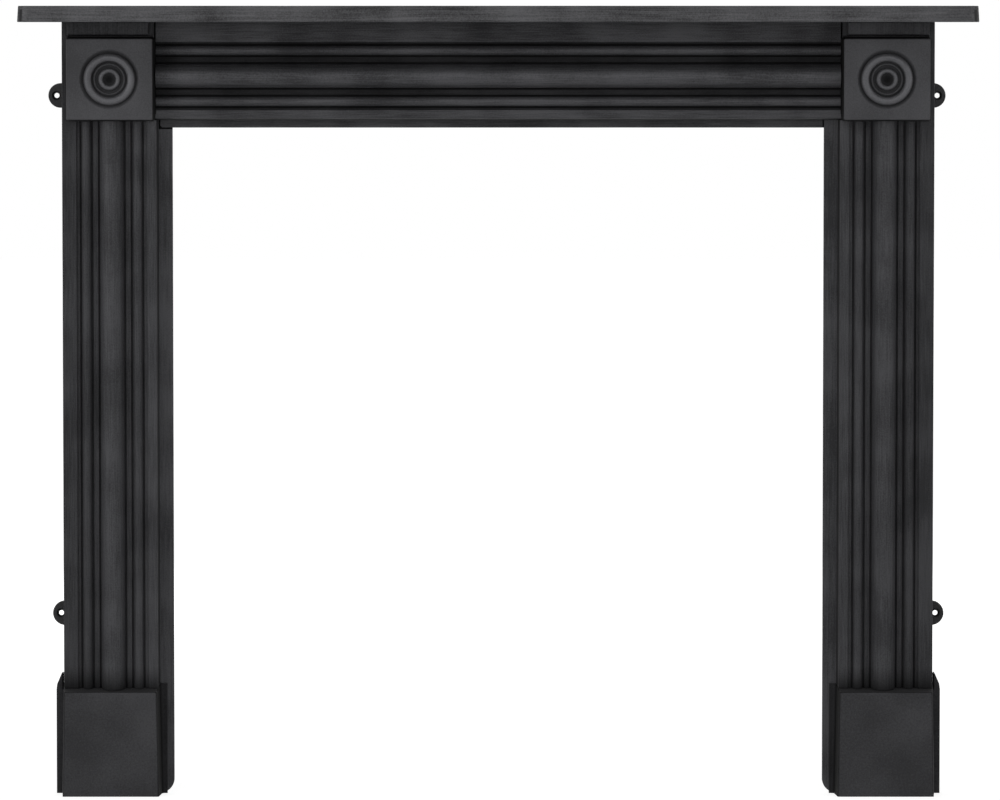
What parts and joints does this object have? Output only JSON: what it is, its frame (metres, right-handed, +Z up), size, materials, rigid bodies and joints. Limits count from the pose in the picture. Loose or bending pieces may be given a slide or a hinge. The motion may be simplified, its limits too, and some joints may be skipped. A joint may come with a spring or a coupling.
{
  "type": "cast iron fire surround",
  "caption": "Cast iron fire surround: reeded jambs and frieze, square bullseye corner blocks, plain plinth blocks, a thin mantel shelf and side lugs, open for a fire insert.",
  "frame": {"origin": "on the floor, in the middle of the width, and in the middle of the depth from the wall to the shelf's front edge", "axes": "+X to the right as seen from the room, -Y out into the room (the back stands against the wall at +Y), +Z up"},
  "size_m": [1.3298, 0.165, 1.1084],
  "materials": {
    "shelf_iron": "linished casting with black graphite polish, satin",
    "body_iron": "sand casting with black graphite polish, satin",
    "lug_iron": "black painted, dull",
    "black_steel": "black oxide steel",
    "zinc_steel": "zinc plated steel"
  },
  "bodies": {
    "root": {"mantel_shelf": "shelf_iron", "frieze": "body_iron", "left_jamb": "body_iron", "right_jamb": "body_iron", "left_corner_block": "body_iron", "right_corner_block": "body_iron", "left_plinth_block": "body_iron", "right_plinth_block": "body_iron", "upper_left_wall_lug": "lug_iron", "upper_right_wall_lug": "lug_iron", "lower_left_wall_lug": "lug_iron", "lower_right_wall_lug": "lug_iron", "shelf_bolts": "black_steel", "shelf_washers": "zinc_steel", "left_frieze_bolts": "black_steel", "left_frieze_washers": "zinc_steel", "left_frieze_nuts": "black_steel", "right_frieze_bolts": "black_steel", "right_frieze_washers": "zinc_steel", "right_frieze_nuts": "black_steel", "left_corner_block_bolts": "black_steel", "left_corner_block_washers": "zinc_steel", "right_corner_block_bolts": "black_steel", "right_corner_block_washers": "zinc_steel", "left_plinth_bolts": "black_steel", "left_plinth_washers": "zinc_steel", "right_plinth_bolts": "black_steel", "right_plinth_washers": "zinc_steel", "left_lug_screws": "black_steel", "right_lug_screws": "black_steel"}
  },
  "joints": []
}
